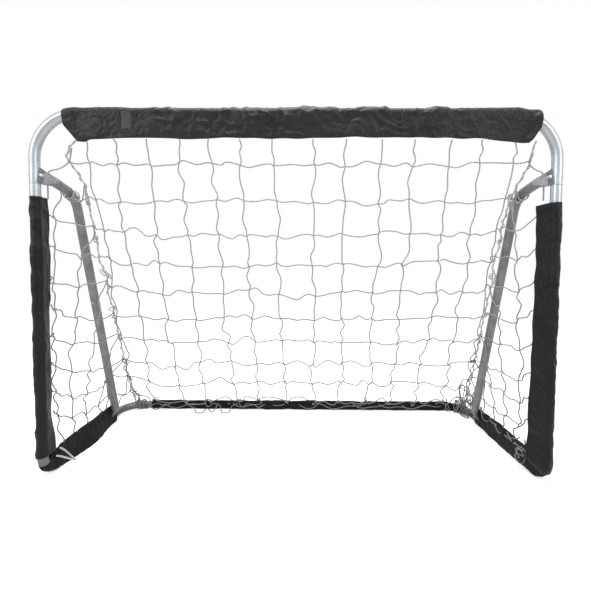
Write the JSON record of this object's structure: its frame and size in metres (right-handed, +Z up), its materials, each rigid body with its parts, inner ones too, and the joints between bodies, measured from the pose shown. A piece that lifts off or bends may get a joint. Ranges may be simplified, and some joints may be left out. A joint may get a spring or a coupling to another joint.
{
  "type": "portable goal with net",
  "caption": "Portable plug-together steel tube goal with bent rear struts, dark fabric tube sleeves and a white square-mesh net.",
  "frame": {"origin": "on the ground, at the middle of the goal's width and depth", "axes": "+Z up, +X to the right seen from in front, the mouth faces -Y"},
  "size_m": [2.135, 0.764, 1.52],
  "materials": {
    "galvanised_tube": "bright galvanised drawn tube",
    "strut_paint": "satin grey powder coat",
    "zinc_hardware": "bright zinc plate",
    "sleeve_fabric": "coated woven polyester, soft sheen",
    "net_cord": "white twisted polyethylene cord"
  },
  "bodies": {
    "goal_frame": {"crossbar_middle_tube": "galvanised_tube", "top_corner_tube_left": "galvanised_tube", "top_corner_tube_right": "galvanised_tube", "post_tube_left": "galvanised_tube", "post_tube_right": "galvanised_tube", "front_elbow_tube_left": "galvanised_tube", "front_elbow_tube_right": "galvanised_tube", "rear_corner_tube_left": "galvanised_tube", "rear_corner_tube_right": "galvanised_tube", "rear_bar_middle_tube": "galvanised_tube", "strut_upper_left": "strut_paint", "strut_upper_right": "strut_paint", "strut_lower_left": "strut_paint", "strut_lower_right": "strut_paint", "strut_top_bolts": "zinc_hardware", "strut_foot_bolts": "zinc_hardware", "bolt_washers": "zinc_hardware", "bolt_nuts": "zinc_hardware", "spring_clip_left": "zinc_hardware", "spring_clip_right": "zinc_hardware", "crossbar_sleeve": "sleeve_fabric", "post_sleeve_left": "sleeve_fabric", "post_sleeve_right": "sleeve_fabric", "side_bar_sleeve_left": "sleeve_fabric", "side_bar_sleeve_right": "sleeve_fabric", "rear_bar_sleeve": "sleeve_fabric", "back_net": "net_cord", "side_net_left": "net_cord", "side_net_right": "net_cord", "back_seam_cord_left": "net_cord", "back_seam_cord_right": "net_cord", "side_top_cord_left": "net_cord", "side_top_cord_right": "net_cord", "strut_tie_left": "net_cord", "strut_tie_right": "net_cord", "rear_lashing_left": "net_cord", "rear_lashing_right": "net_cord", "front_tie_left": "net_cord", "front_tie_right": "net_cord"},
    "button_left": {"spring_button_left": "zinc_hardware"},
    "button_right": {"spring_button_right": "zinc_hardware"}
  },
  "joints": [
    {"name": "press_left", "type": "slide", "parent": "goal_frame", "child": "button_left", "axis": [0, 0.9631, 0.2693], "range_m": [0, 0.0045], "stiffness_N_per_m": 1200, "springref_m": -0.002},
    {"name": "press_right", "type": "slide", "parent": "goal_frame", "child": "button_right", "axis": [0, 0.9631, 0.2693], "range_m": [0, 0.0045], "stiffness_N_per_m": 1200, "springref_m": -0.002}
  ]
}
